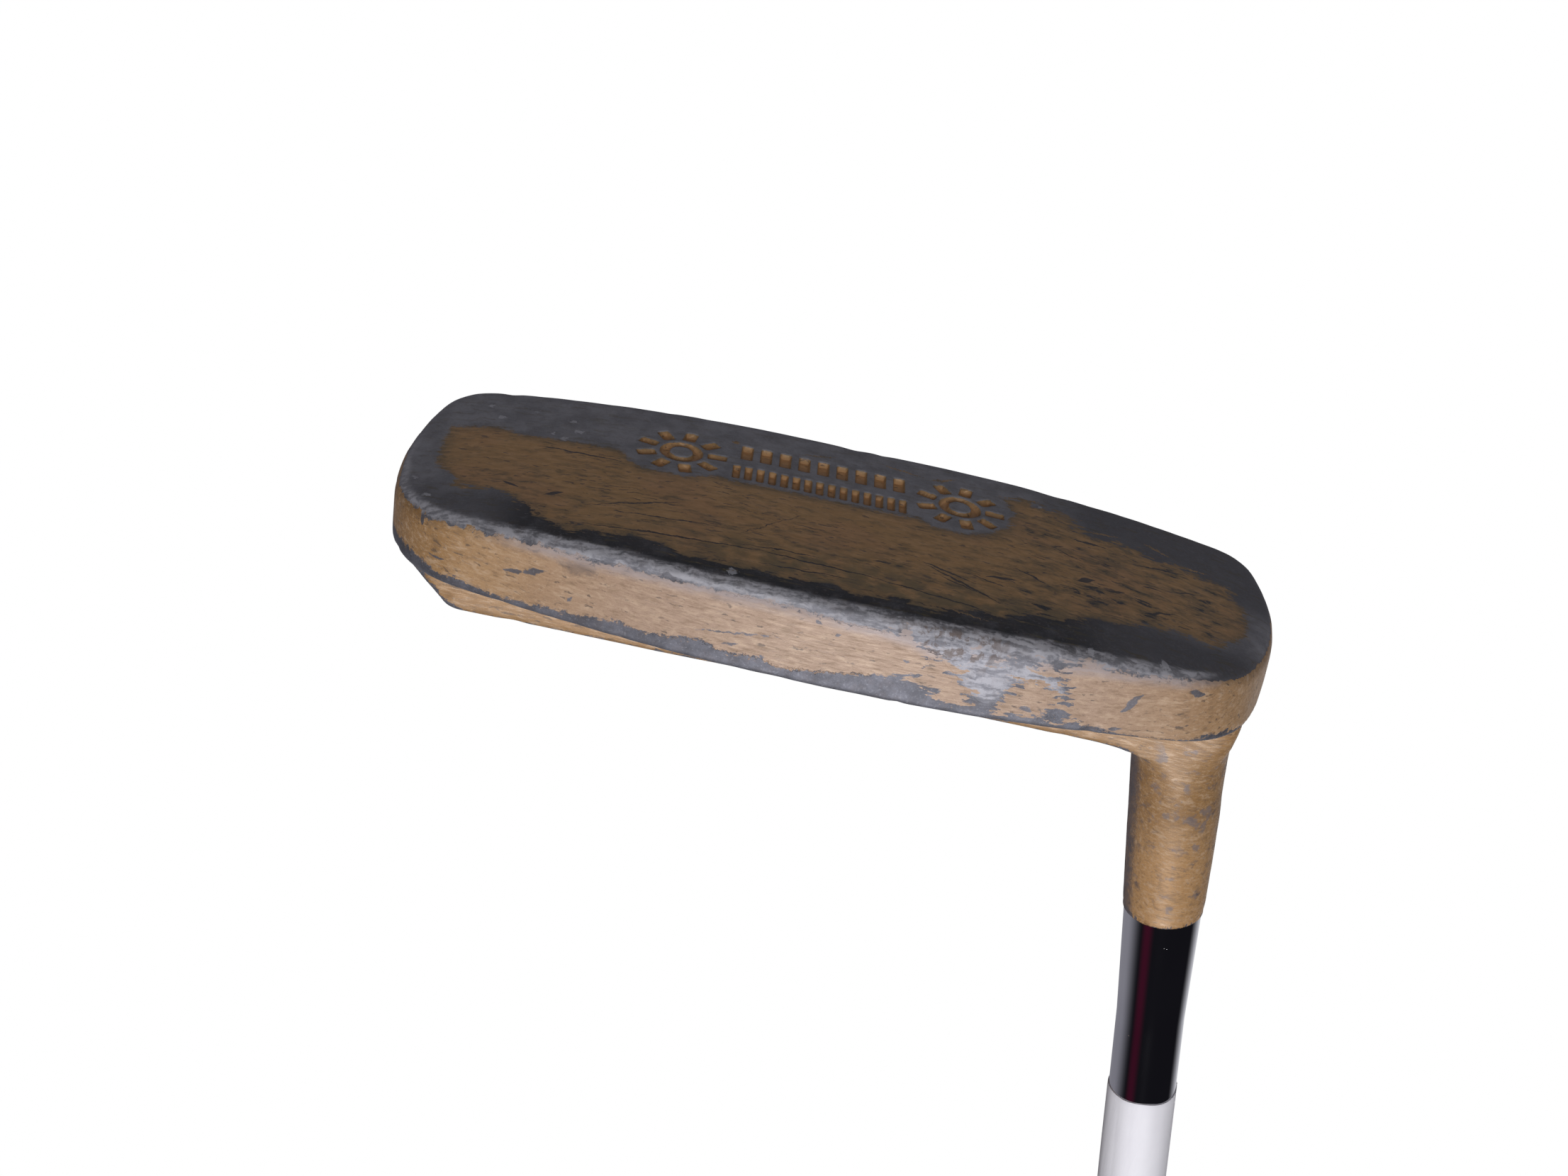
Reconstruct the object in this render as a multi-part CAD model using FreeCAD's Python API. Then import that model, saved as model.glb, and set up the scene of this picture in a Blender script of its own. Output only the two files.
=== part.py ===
import FreeCAD, Part
import math
import os

# Blade putter, right handed, standing at address.
# X runs from heel to toe, Y points where the face points, Z is up. Lengths are millimetres.
# The origin is on the flat of the sole, under the middle of the head.

Vector = FreeCAD.Vector

# Head, seen from above. The face is straight, and the back and both ends are arcs.
toe_x = 54.1
heel_x = 54.3
face_y = 21.4
back_y = 22.0
back_radius = 190.0
back_centre_x = -2.0
toe_end_radius = 52.0
toe_end_y = 1.0
heel_end_radius = 38.0
heel_end_y = 8.0
toe_front_corner = 6.8
toe_back_corner = 12.0
heel_front_corner = 5.4
heel_back_corner = 13.0

# Head, heights and slopes
blade_height = 27.5
flange_height = 12.4
blade_back_top_y = 6.6
blade_back_slope = 14.0
blade_root_radius = 4.0
face_loft = 2.5
back_draft = 9.0
toe_draft = 4.0
heel_lean = 4.2
toe_cut_width = 6.2
toe_cut_height = 7.0
toe_cut_radius = 2.4
heel_top_radius = 4.0
heel_sweep_radius = 22.0
heel_sweep_length = 13.0

# Sole: flat in the middle, rising to toe and heel
sole_flat_length = 20.0
sole_camber_radius = 240.0

# Edges of the casting that turn by more than the sharp angle: rounded below, broken above
sole_edge_radius = 1.9
top_edge_chamfer = 0.6
sharp_angle = 20.0
neck_margin = 0.2

# Neck, hosel and the post that enters the shaft. Distances run up the shaft line from the sole.
lie_angle = 79.4
hosel_x = -45.2
neck_start = 9.0
neck_radius_low = 6.55
neck_low_at = 28.0
neck_setback = 0.1
hosel_end = 55.0
hosel_end_radius = 5.5
hosel_lip_radius = 0.3
post_length = 34.0
post_nose = 1.5

# Shaft: a stepped steel tube, flared where it seats on the hosel
club_length = 889.0
shaft_wall = 0.55
tip_flare_radius = 5.25
tip_radius = 4.7
tip_flare_length = 18.0
tip_straight_length = 180.0
butt_radius = 7.6
step_count = 9
step_spacing = 42.0
step_slope_length = 1.2

# Bond between post and shaft, and the paper label on the shaft
bond_thickness = 0.25
fit_gap = 0.03
label_start = 85.8
label_length = 63.0
label_thickness = 0.16
label_lap_angle = 24.0
label_lap_place = 150.0

# Grip: a moulded rubber sleeve with a flat front, over a layer of tape
grip_length = 262.0
grip_cap_thickness = 4.0
grip_cap_rounding = 2.6
grip_vent_radius = 1.4
tape_thickness = 0.2
tape_margin = 3.0
grip_mouth_radius = 9.0
grip_belly_radius = 11.5
grip_butt_radius = 13.2
grip_front_depth = 10.4
grip_bead_height = 0.9
grip_bead_length = 5.0
grip_bead_chamfer = 0.8

# Room that cutting tools run past the metal
overrun = 6.0


def slope(angle):
    return math.tan(math.radians(angle))


def unit(vector):
    return vector * (1.0 / vector.Length)


def line(start, end):
    return Part.LineSegment(start, end).toShape()


def arc(centre, radius, start, end):
    """The short arc from start to end about centre."""
    middle = centre + unit((start - centre) + (end - centre)) * radius
    return Part.Arc(start, middle, end).toShape()


def drafted_cylinder(centre_x, centre_y, radius, draft):
    """An upright cone: its radius on the sole plane, drawn in by the draft going up."""
    low = -overrun
    high = blade_height + overrun
    low_radius = radius - low * slope(draft)
    high_radius = radius - high * slope(draft)
    return Part.makeCone(low_radius, high_radius, high - low, Vector(centre_x, centre_y, low))


def behind_face():
    """Everything behind the striking face, which leans back by its loft."""
    reach = max(toe_x, heel_x) + overrun
    low = -overrun
    high = blade_height + overrun
    far_y = -back_y - overrun
    corners = [
        Vector(-reach, far_y, low), Vector(-reach, face_y - low * slope(face_loft), low),
        Vector(-reach, face_y - high * slope(face_loft), high), Vector(-reach, far_y, high),
    ]
    return Part.Face(Part.makePolygon(corners + corners[:1])).extrude(Vector(2 * reach, 0, 0))


def walls():
    """The head's walls: a straight face, an arc behind, an arc at each end, rounded corners."""
    back = drafted_cylinder(back_centre_x, back_radius - back_y, back_radius, back_draft)
    toe = drafted_cylinder(toe_x - toe_end_radius, toe_end_y, toe_end_radius, toe_draft)
    heel = drafted_cylinder(heel_end_radius - heel_x, heel_end_y, heel_end_radius, -heel_lean)
    core = back.common(behind_face())
    half = Part.makeBox(
        toe_x + overrun, face_y + back_y + 2 * overrun, blade_height + 4 * overrun,
        Vector(0, -back_y - overrun, -2 * overrun))
    toe_half = core.common(toe).common(half)
    heel_half = core.common(heel).cut(half)
    block = toe_half.fuse(heel_half).removeSplitter().Solids[0]
    corners = (
        (toe_front_corner, toe_x, face_y), (toe_back_corner, toe_x, -back_y),
        (heel_front_corner, -heel_x, face_y), (heel_back_corner, -heel_x, -back_y),
    )
    for radius, near_x, near_y in corners:
        uprights = [edge for edge in block.Edges if edge.BoundBox.ZLength > blade_height
                    and len(block.ancestorsOfType(edge, Part.Face)) == 2]
        near = Vector(near_x, near_y, 0)
        nearest = min(uprights, key=lambda edge: (corner_place(edge) - near).Length)
        block = block.makeFillet(radius, [nearest])
    return block


def corner_place(edge):
    """Where an edge's middle is, seen from above."""
    middle = edge.CenterOfMass
    return Vector(middle.x, middle.y, 0)


def sole_cutter():
    """Everything under the sole: flat in the middle, an arc on each side."""
    half = sole_flat_length / 2
    reach = max(toe_x, heel_x) + overrun
    width = face_y + back_y + 2 * overrun

    def rise(distance):
        return sole_camber_radius - math.sqrt(sole_camber_radius ** 2 - distance ** 2)

    def edge_point(x):
        return Vector(x, -back_y - overrun, rise(max(abs(x) - half, 0)))

    def camber(direction):
        span = reach - half
        stations = [edge_point(direction * (half + span * share)) for share in (0, 0.5, 1)]
        return Part.Arc(*stations).toShape()

    left = edge_point(-reach)
    right = edge_point(reach)
    down = Vector(0, 0, -2 * overrun)
    wire = Part.Wire(Part.__sortEdges__([
        camber(-1), line(edge_point(-half), edge_point(half)), camber(1),
        line(right, right + down), line(right + down, left + down), line(left + down, left),
    ]))
    return Part.Face(wire).extrude(Vector(0, width, 0))


def shelf_cutter():
    """The space behind the blade and above the flange, with a rounded inner corner."""
    top = blade_height + overrun
    far_y = -back_y - overrun
    lean = slope(blade_back_slope)
    root_y = blade_back_top_y - (blade_height - flange_height) * lean
    radius = blade_root_radius
    centre_y = root_y + radius * lean - radius / math.cos(math.radians(blade_back_slope))
    start_x = -heel_x - 2 * overrun
    centre = Vector(start_x, centre_y, flange_height + radius)
    shelf_end = Vector(start_x, centre_y, flange_height)
    angle = math.radians(blade_back_slope)
    wall_start = centre + Vector(0, math.cos(angle), -math.sin(angle)) * radius
    wall_end = Vector(start_x, blade_back_top_y + overrun * lean, top)
    back_top = Vector(start_x, far_y, top)
    back_low = Vector(start_x, far_y, flange_height)
    wire = Part.Wire([
        line(back_low, shelf_end),
        arc(centre, radius, shelf_end, wall_start),
        line(wall_start, wall_end),
        line(wall_end, back_top),
        line(back_top, back_low),
    ])
    return Part.Face(wire).extrude(Vector(toe_x + heel_x + 4 * overrun, 0, 0))


def top_cutter():
    """Everything above the blade: its straight top, its slanted toe, and its heel,
    which sweeps up into the neck and is rounded off behind it."""
    far_y = -back_y - overrun
    toe_wall_x = toe_x - blade_height * slope(toe_draft)
    heel_wall_x = -heel_x - blade_height * slope(heel_lean)
    reach = 2 * overrun
    ceiling = blade_height + reach
    cut_angle = math.atan2(toe_cut_height, toe_cut_width)
    set_back = toe_cut_radius * math.tan(cut_angle / 2)
    cut_top = Vector(toe_wall_x - toe_cut_width, far_y, blade_height)
    down_cut = Vector(math.cos(cut_angle), 0, -math.sin(cut_angle))
    toe_far = cut_top + down_cut * (toe_cut_width + reach)
    corner_high = cut_top - Vector(set_back, 0, 0)
    corner_low = cut_top + down_cut * set_back
    corner_centre = corner_high - Vector(0, 0, toe_cut_radius)
    neck_x = hosel_x - blade_height / slope(lie_angle)
    sweep_start = Vector(neck_x + heel_sweep_length, far_y, blade_height)
    sweep_centre = sweep_start + Vector(0, 0, heel_sweep_radius)
    sweep_rise = heel_sweep_radius - math.sqrt(heel_sweep_radius ** 2 - heel_sweep_length ** 2)
    sweep_end = Vector(neck_x, far_y, blade_height + sweep_rise)
    sweep_foot = Vector(neck_x, far_y, blade_height)
    heel_high = Vector(heel_wall_x + heel_top_radius, far_y, blade_height)
    heel_low = Vector(heel_wall_x, far_y, blade_height - heel_top_radius)
    heel_centre = Vector(heel_high.x, far_y, heel_low.z)
    heel_far = heel_low - Vector(reach, 0, 0)
    wire = Part.Wire([
        line(toe_far, corner_low),
        arc(corner_centre, toe_cut_radius, corner_low, corner_high),
        line(corner_high, sweep_start),
        arc(sweep_centre, heel_sweep_radius, sweep_start, sweep_end),
        line(sweep_end, sweep_foot),
        line(sweep_foot, heel_high),
        arc(heel_centre, heel_top_radius, heel_high, heel_low),
        line(heel_low, heel_far),
        line(heel_far, Vector(heel_far.x, far_y, ceiling)),
        line(Vector(heel_far.x, far_y, ceiling), Vector(toe_far.x, far_y, ceiling)),
        line(Vector(toe_far.x, far_y, ceiling), toe_far),
    ])
    return Part.Face(wire).extrude(Vector(0, face_y + back_y + 2 * overrun, 0))


# The shaft line: where it starts on the sole plane, and its lean towards the heel
blade_top_face_y = face_y - blade_height * slope(face_loft)
hosel_y = blade_top_face_y - neck_setback - neck_radius_low
shaft_placement = FreeCAD.Placement(
    Vector(hosel_x, hosel_y, 0),
    FreeCAD.Rotation(Vector(0, 1, 0), lie_angle - 90.0),
)


def on_shaft_line(shape):
    """Move a shape built about Z onto the shaft line."""
    placed = shape.copy()
    placed.Placement = shaft_placement
    return placed


def revolved(edges):
    """A solid of revolution about Z from a closed profile in the XZ plane."""
    return Part.Face(Part.Wire(edges)).revolve(Vector(0, 0, 0), Vector(0, 0, 1), 360)


def straight_run(points):
    """The straight edges that join (radius, distance) points in turn."""
    corners = [Vector(radius, 0, distance) for radius, distance in points]
    return [line(start, end) for start, end in zip(corners, corners[1:])]


def turned(points):
    """A solid of revolution about Z from (radius, distance) points."""
    return revolved(straight_run(points + points[:1]))


bond_outer_inset = shaft_wall + fit_gap
post_inset = bond_outer_inset + bond_thickness + fit_gap
flare_end = hosel_end + tip_flare_length
post_end = hosel_end + post_length
shaft_end = club_length - grip_cap_thickness
grip_start = club_length - grip_length


def hosel():
    """The round neck, the hosel and the post on its end, about the shaft line."""
    taper = (neck_radius_low - hosel_end_radius) / (hosel_end - neck_low_at)
    return turned([
        (0, neck_start),
        (neck_radius_low, neck_start),
        (neck_radius_low, neck_low_at),
        (hosel_end_radius + taper * hosel_lip_radius, hosel_end - hosel_lip_radius),
        (hosel_end_radius - hosel_lip_radius, hosel_end),
        (tip_radius - post_inset, hosel_end),
        (tip_radius - post_inset, post_end - post_nose),
        (tip_radius - post_inset - post_nose, post_end),
        (0, post_end),
    ])


def sharp_edges(shape, low, high):
    """Edges between two heights, clear of the neck, where the surface turns sharply,
    listed from the face backwards, which is the order that the rounding takes them in."""
    found = []
    for edge in shape.Edges:
        first, last = edge.ParameterRange
        middle = edge.valueAt((first + last) / 2)
        neck_x = hosel_x - middle.z / slope(lie_angle)
        from_neck = math.hypot(middle.x - neck_x, middle.y - hosel_y)
        faces = shape.ancestorsOfType(edge, Part.Face)
        if len(faces) != 2 or not low < middle.z < high or from_neck < neck_radius_low + neck_margin:
            continue
        normals = [face.normalAt(*face.Surface.parameter(middle)) for face in faces]
        if math.degrees(normals[0].getAngle(normals[1])) > sharp_angle:
            found.append(edge)
    return sorted(found, key=lambda edge: -edge.CenterOfMass.y)


def head():
    """One casting: sole, flange, blade, neck, hosel and post."""
    block = walls().cut(sole_cutter()).Solids[0]
    sole_edges = sharp_edges(block, -overrun, flange_height)
    block = block.makeFillet(sole_edge_radius, sole_edges)
    block = block.cut(shelf_cutter()).cut(top_cutter())
    top_edges = sharp_edges(block, flange_height - top_edge_chamfer, blade_height + overrun)
    block = block.makeChamfer(top_edge_chamfer, top_edges)
    return block.fuse(on_shaft_line(hosel())).removeSplitter()


def shaft():
    """A tube, stepped outside and tapered inside, whose flared tip goes over the post."""
    step_height = (butt_radius - tip_radius) / step_count
    steps_start = hosel_end + tip_straight_length
    steps_end = steps_start + (step_count - 1) * step_spacing + step_slope_length
    outside = [(tip_flare_radius, hosel_end), (tip_radius, flare_end)]
    for step in range(step_count):
        foot = steps_start + step * step_spacing
        radius = tip_radius + step * step_height
        outside.append((radius, foot))
        outside.append((radius + step_height, foot + step_slope_length))
    outside.append((butt_radius, shaft_end))
    bore = [
        (butt_radius - shaft_wall, shaft_end), (butt_radius - shaft_wall, steps_end),
        (tip_radius - shaft_wall, steps_start), (tip_radius - shaft_wall, flare_end),
        (tip_flare_radius - shaft_wall, hosel_end),
    ]
    return on_shaft_line(turned(outside + bore))


def hosel_bond():
    """The cured adhesive on the parallel length of the post, inside the shaft's bore."""
    outer = tip_radius - bond_outer_inset
    inner = outer - bond_thickness
    nose_start = post_end - post_nose
    return on_shaft_line(turned(
        [(inner, flare_end), (outer, flare_end), (outer, nose_start), (inner, nose_start)]))


def shaft_label():
    """A paper label wrapped round the shaft, doubled where its end laps over its start."""
    inner = tip_radius + fit_gap
    middle = inner + label_thickness
    sleeve = turned([
        (inner, label_start), (middle, label_start),
        (middle, label_start + label_length), (inner, label_start + label_length),
    ])
    lap_corners = [
        Vector(middle, 0, label_start), Vector(middle + label_thickness, 0, label_start),
        Vector(middle + label_thickness, 0, label_start + label_length),
        Vector(middle, 0, label_start + label_length),
    ]
    lap_face = Part.Face(Part.makePolygon(lap_corners + lap_corners[:1]))
    lap_face.rotate(Vector(0, 0, 0), Vector(0, 0, 1), label_lap_place)
    lap = lap_face.revolve(Vector(0, 0, 0), Vector(0, 0, 1), label_lap_angle)
    return on_shaft_line(sleeve.fuse(lap).removeSplitter())


def grip_tape():
    """The layer of tape that holds the grip on the shaft."""
    inner = butt_radius + fit_gap
    outer = inner + tape_thickness
    start = grip_start + tape_margin
    return on_shaft_line(turned(
        [(inner, start), (outer, start), (outer, shaft_end), (inner, shaft_end)]))


def grip_rim(radius):
    """The rounding between the grip's side, at this radius, and its flat end."""
    cap_start = club_length - grip_cap_rounding
    centre = Vector(radius - grip_cap_rounding, 0, cap_start)
    side = Vector(radius, 0, cap_start)
    return arc(centre, grip_cap_rounding, side, centre + Vector(0, 0, grip_cap_rounding))


def grip_front_cutter():
    """Everything in front of the grip's flat front, which fades out at its mouth."""
    flat_start = Vector(grip_mouth_radius, 0, grip_start + grip_bead_length)
    flat_end = Vector(grip_front_depth, 0, club_length - grip_cap_rounding)
    rim_end = Vector(grip_front_depth - grip_cap_rounding, 0, club_length)
    far_x = grip_butt_radius + overrun
    wire = Part.Wire([
        line(flat_start, flat_end),
        grip_rim(grip_front_depth),
        line(rim_end, rim_end + Vector(0, 0, overrun)),
        line(rim_end + Vector(0, 0, overrun), Vector(far_x, 0, club_length + overrun)),
        line(Vector(far_x, 0, club_length + overrun), Vector(far_x, 0, flat_start.z)),
        line(Vector(far_x, 0, flat_start.z), flat_start),
    ])
    cutter = Part.Face(wire).extrude(Vector(0, 2 * far_x, 0))
    return cutter.translated(Vector(0, -far_x, 0))


def grip():
    """A moulded rubber sleeve: round lipped mouth, flat front, closed and vented butt."""
    bead_radius = grip_mouth_radius + grip_bead_height
    bead_end = grip_start + grip_bead_length
    bore_radius = butt_radius + tape_thickness + 2 * fit_gap
    cap_start = club_length - grip_cap_rounding
    side = straight_run([
        (bore_radius, grip_start), (bead_radius - grip_bead_chamfer, grip_start),
        (bead_radius, grip_start + grip_bead_chamfer), (bead_radius, bead_end - grip_bead_chamfer),
        (grip_mouth_radius, bead_end), (grip_belly_radius, (bead_end + cap_start) / 2),
        (grip_butt_radius, cap_start),
    ])
    end = straight_run([
        (grip_butt_radius - grip_cap_rounding, club_length), (grip_vent_radius, club_length),
        (grip_vent_radius, shaft_end), (bore_radius, shaft_end), (bore_radius, grip_start),
    ])
    sleeve = revolved(side + [grip_rim(grip_butt_radius)] + end)
    return on_shaft_line(sleeve.cut(grip_front_cutter()).Solids[0])


parts = {
    "head_casting": head(),
    "hosel_bond": hosel_bond(),
    "shaft_tube": shaft(),
    "shaft_label": shaft_label(),
    "grip_tape": grip_tape(),
    "grip_sleeve": grip(),
}

os.makedirs("parts", exist_ok=True)
for name, shape in parts.items():
    print(name, shape.isValid(), len(shape.Solids), round(shape.Volume, 1))
    shape.exportStep("parts/" + name + ".step")
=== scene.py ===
import math

import bmesh
import bpy
import numpy as np
from mathutils import Matrix, Vector, noise


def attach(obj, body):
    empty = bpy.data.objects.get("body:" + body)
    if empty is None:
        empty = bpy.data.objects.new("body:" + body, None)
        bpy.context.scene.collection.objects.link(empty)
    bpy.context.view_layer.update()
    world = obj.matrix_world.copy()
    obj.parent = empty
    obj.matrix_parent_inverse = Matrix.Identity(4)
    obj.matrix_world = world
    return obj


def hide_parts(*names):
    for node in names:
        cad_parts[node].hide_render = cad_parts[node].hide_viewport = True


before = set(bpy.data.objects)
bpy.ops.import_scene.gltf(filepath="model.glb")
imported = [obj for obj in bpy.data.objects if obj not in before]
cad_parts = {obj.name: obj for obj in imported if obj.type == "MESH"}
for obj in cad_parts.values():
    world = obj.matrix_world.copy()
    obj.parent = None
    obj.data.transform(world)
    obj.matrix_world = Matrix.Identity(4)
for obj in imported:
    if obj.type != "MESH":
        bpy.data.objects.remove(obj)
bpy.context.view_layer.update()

# Blade putter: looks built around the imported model.
# X runs from heel to toe, Y points where the face points, Z is up. Blender works in metres,
# and the lengths written here are millimetres, turned into metres by MM.
MM = 0.001

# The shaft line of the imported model
LIE = math.radians(79.4)
FOOT = np.array([-45.2, 13.549, 0.0])
ALONG = np.array([-math.cos(LIE), 0.0, math.sin(LIE)])
FRONT = np.array([math.sin(LIE), 0.0, math.cos(LIE)])
SIDE = np.array([0.0, 1.0, 0.0])
# Degrees about X, Y and Z that turn a texture to run along the shaft
WITH_SHAFT = (0.0, -10.5, 0.0)

HOSEL_END = 55.0
RIM_RADIUS = 5.42
TIP_RADIUS = 4.7
TIP_FLARE_RADIUS = 5.25
TIP_FLARE_LENGTH = 18.0
FIRST_STEP = 235.0
STEP_COUNT = 9
STEP_SPACING = 42.0
STEP_LENGTH = 1.2
BUTT_RADIUS = 7.6
SHAFT_END = 885.0
SHAFT_WALL = 0.55

LABEL_START = 85.8
LABEL_LENGTH = 63.0
LABEL_INNER = 4.73
LABEL_THICKNESS = 0.16
LABEL_LAP_PLACE = math.radians(150.0)
LABEL_LAP_ANGLE = math.radians(24.0)

CLUB_LENGTH = 889.0
GRIP_START = 627.0
GRIP_MOUTH_RADIUS = 9.0
GRIP_BELLY_RADIUS = 11.5
GRIP_BUTT_RADIUS = 13.2
GRIP_FRONT_DEPTH = 10.4
GRIP_BEAD_HEIGHT = 0.9
GRIP_BEAD_LENGTH = 5.0
GRIP_BEAD_CHAMFER = 0.8
GRIP_ROUNDING = 2.6
GRIP_VENT_RADIUS = 1.4
GRIP_BORE_RADIUS = 7.86

# Where the paint still holds, read from the photograph and written in the part's own frame.
# Sole, as (x, y): the painted field inside its bare margins, with a halo left round the relief.
SOLE_PAINT = [
    (49.6, 5.0), (49.2, 9.0), (44.5, 9.6), (41.0, 8.4), (36.0, 7.6), (31.0, 7.4), (28.4, 7.0),
    (27.0, 4.6), (25.4, 3.2), (20.5, 2.6), (18.0, 3.6), (16.4, 4.4), (14.6, 3.7), (8.0, 3.8),
    (0.0, 3.7), (-6.5, 3.9), (-8.4, 4.3), (-10.5, 2.6), (-14.0, 2.4), (-17.0, 3.8), (-19.6, 7.2),
    (-20.4, 11.0), (-20.0, 14.6), (-22.6, 15.6), (-26.0, 15.2), (-28.6, 12.4), (-31.0, 10.4),
    (-35.0, 11.0), (-40.0, 10.2), (-45.0, 9.4), (-49.0, 8.4), (-50.2, 4.0), (-50.2, 0.0),
    (-49.4, -3.2), (-47.0, -5.8), (-44.6, -8.0), (-42.0, -7.6), (-39.4, -7.8), (-36.0, -9.4),
    (-31.0, -10.8), (-27.5, -12.4), (-24.0, -13.4), (-19.0, -16.2), (-14.0, -17.2), (-8.0, -17.6),
    (0.0, -18.0), (10.0, -17.8), (17.0, -17.4), (20.5, -17.0), (25.0, -14.8), (30.0, -15.2),
    (34.5, -14.2), (38.0, -10.4), (41.0, -8.4), (45.0, -7.4), (47.4, -5.0), (49.4, -1.6),
]
# Back edge of the flange, as (x, height): the lower and the upper limit of the paint.
BAND_FOOT = [
    (-60.0, 0.9), (-50.0, 1.0), (-45.0, 2.5), (-40.0, 3.0), (-30.0, 2.6), (-22.0, 3.0),
    (-16.0, 3.6), (-11.0, 3.6), (-8.0, 2.6), (-5.0, 2.3), (0.0, 2.2), (5.0, 1.7), (10.0, 1.8),
    (20.0, 2.0), (25.0, 2.2), (30.0, 2.5), (35.0, 2.6), (40.0, 3.1), (45.0, 3.7), (48.0, 4.1),
    (50.5, 4.2), (60.0, 4.6),
]
BAND_HEAD = [
    (-60.0, 12.4), (-52.0, 11.6), (-48.0, 10.9), (-45.0, 11.3), (-40.0, 11.9), (-36.0, 11.9),
    (-33.0, 11.5), (-30.0, 10.8), (-28.0, 9.8), (-26.0, 10.5), (-23.0, 10.8), (-17.0, 10.2),
    (-14.0, 10.3), (-12.0, 9.5), (-10.0, 8.0), (-6.0, 8.6), (-3.0, 9.0), (0.0, 9.6), (5.0, 10.5),
    (8.0, 9.8), (12.0, 10.0), (15.0, 9.2), (18.0, 9.8), (22.0, 10.1), (25.0, 9.7), (30.0, 10.4),
    (38.0, 11.2), (42.0, 11.0), (47.0, 10.6), (50.0, 9.8), (60.0, 9.0),
]
# A patch on the back edge that is worn to pale metal.
BAND_PATCH = [
    (-10.6, 3.0), (-22.0, 3.4), (-26.0, 5.3), (-27.4, 7.4), (-24.4, 5.9), (-21.0, 6.0),
    (-20.2, 8.4), (-19.0, 10.2), (-16.8, 9.0), (-14.4, 6.4),
]
# Single scratches as (x0, y0, x1, y1, half width), on the sole and on the back edge (x, height).
SOLE_SCRATCHES = [
    (31.0, -13.4, 9.0, -12.9, 0.16), (10.0, -12.8, -4.0, -13.7, 0.17), (-3.0, -13.6, -17.5, -16.0, 0.15),
    (10.5, -15.7, -1.0, -15.2, 0.13), (27.5, -9.3, 14.5, -8.8, 0.10), (31.0, -8.7, 20.0, -4.4, 0.12),
    (36.0, -7.6, 33.6, -6.3, 0.42), (-8.8, -6.8, -15.2, -9.7, 0.17), (-9.6, -7.6, -18.2, -13.2, 0.20),
    (-11.0, -9.6, -16.0, -12.0, 0.12), (-20.0, -3.0, -24.6, -5.8, 0.16), (-16.6, -7.3, -20.4, -6.4, 0.26),
    (-13.4, -7.4, -19.0, -8.9, 0.12), (-36.0, -5.6, -40.4, -3.4, 0.20), (-28.0, -2.3, -30.6, -0.9, 0.40),
    (-25.4, 4.8, -29.4, 3.0, 0.10), (-25.0, 4.6, -26.8, 6.0, 0.10), (-31.5, -2.8, -34.0, -1.9, 0.24),
    (-35.2, -2.2, -37.6, -3.0, 0.18), (-44.0, 4.0, -41.0, 2.6, 0.16), (-27.5, 8.8, -32.4, 8.6, 0.24),
    (-35.6, 6.6, -43.0, 8.2, 0.14), (-29.0, -15.0, -19.0, -14.2, 0.09), (-3.0, -9.6, -5.4, -9.0, 0.22),
    (12.0, -12.0, 3.5, -11.4, 0.11), (46.6, -5.2, 49.0, -3.0, 0.42), (39.0, -6.2, 41.2, -4.9, 0.26),
    (6.0, -2.0, 12.4, -9.2, 0.05), (38.0, 5.4, 28.4, 4.0, 0.17), (-36.6, 1.4, -39.0, 1.8, 0.18),
]
BAND_SCRATCHES = [
    (38.4, 7.4, 36.0, 6.7, 0.38), (36.4, 6.9, 33.6, 5.5, 0.32),
    (15.6, 7.9, 6.6, 6.2, 0.12), (-36.4, 5.2, -34.4, 8.4, 0.44), (-41.6, 4.4, -43.6, 4.8, 0.42),
    (0.2, 3.7, -0.3, 4.3, 0.34), (2.6, 2.7, 1.8, 3.2, 0.26), (-8.0, 5.6, -9.0, 5.8, 0.20),
    (-22.6, 9.4, -24.0, 9.8, 0.34), (-33.6, 10.9, -35.4, 11.0, 0.24), (30.0, 8.2, 30.6, 8.8, 0.16),
    (47.4, 8.9, 45.4, 8.6, 0.16), (12.4, 9.1, 10.6, 8.4, 0.20), (48.6, 5.4, 49.2, 3.0, 0.22),
]
# A soft brown smudge on the back edge, (x0, height, x1, height, half width).
BAND_SMUDGES = [(32.4, 4.2, 27.6, 3.9, 0.95)]
# Paint left in streaks on bare metal: (x0, y0, x1, y1, half width) on the sole.
SOLE_STREAKS = [
    (-19.5, 15.4, -24.2, 16.5, 0.22), (-29.8, 11.9, -34.2, 12.8, 0.20), (-37.6, 13.4, -41.4, 12.0, 0.22),
    (-10.0, 15.2, -13.2, 16.8, 0.20), (-4.0, 16.8, -9.0, 15.8, 0.14), (-24.0, 13.4, -29.0, 14.6, 0.16),
    (-41.0, 10.0, -46.0, 10.8, 0.18), (-45.0, 8.2, -48.6, 9.0, 0.24), (15.4, 14.8, 14.2, 14.2, 0.30),
    (6.4, 14.8, 2.4, 16.0, 0.15), (38.0, -9.4, 33.4, -14.4, 0.26), (-16.0, -18.0, -10.0, -16.6, 0.20),
]
# Small pale nicks in the bare metal, (x, y, radius) on the sole.
SOLE_NICKS = [
    (34.0, 10.6, 0.50), (35.6, 8.2, 0.44), (43.6, 12.5, 0.36), (35.0, 13.3, 0.40), (18.2, -11.5, 0.46),
    (37.0, 9.0, 0.30), (49.0, -10.0, 0.50), (13.0, -19.0, 0.62), (-37.8, -16.6, 0.60), (-28.8, -18.4, 0.50),
    (-34.0, -18.8, 0.55), (45.4, 15.6, 0.34), (51.0, -5.6, 0.36), (-24.2, 15.2, 0.36), (39.6, 15.0, 0.26),
]


# ---------- numbers on the mesh ----------

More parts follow.
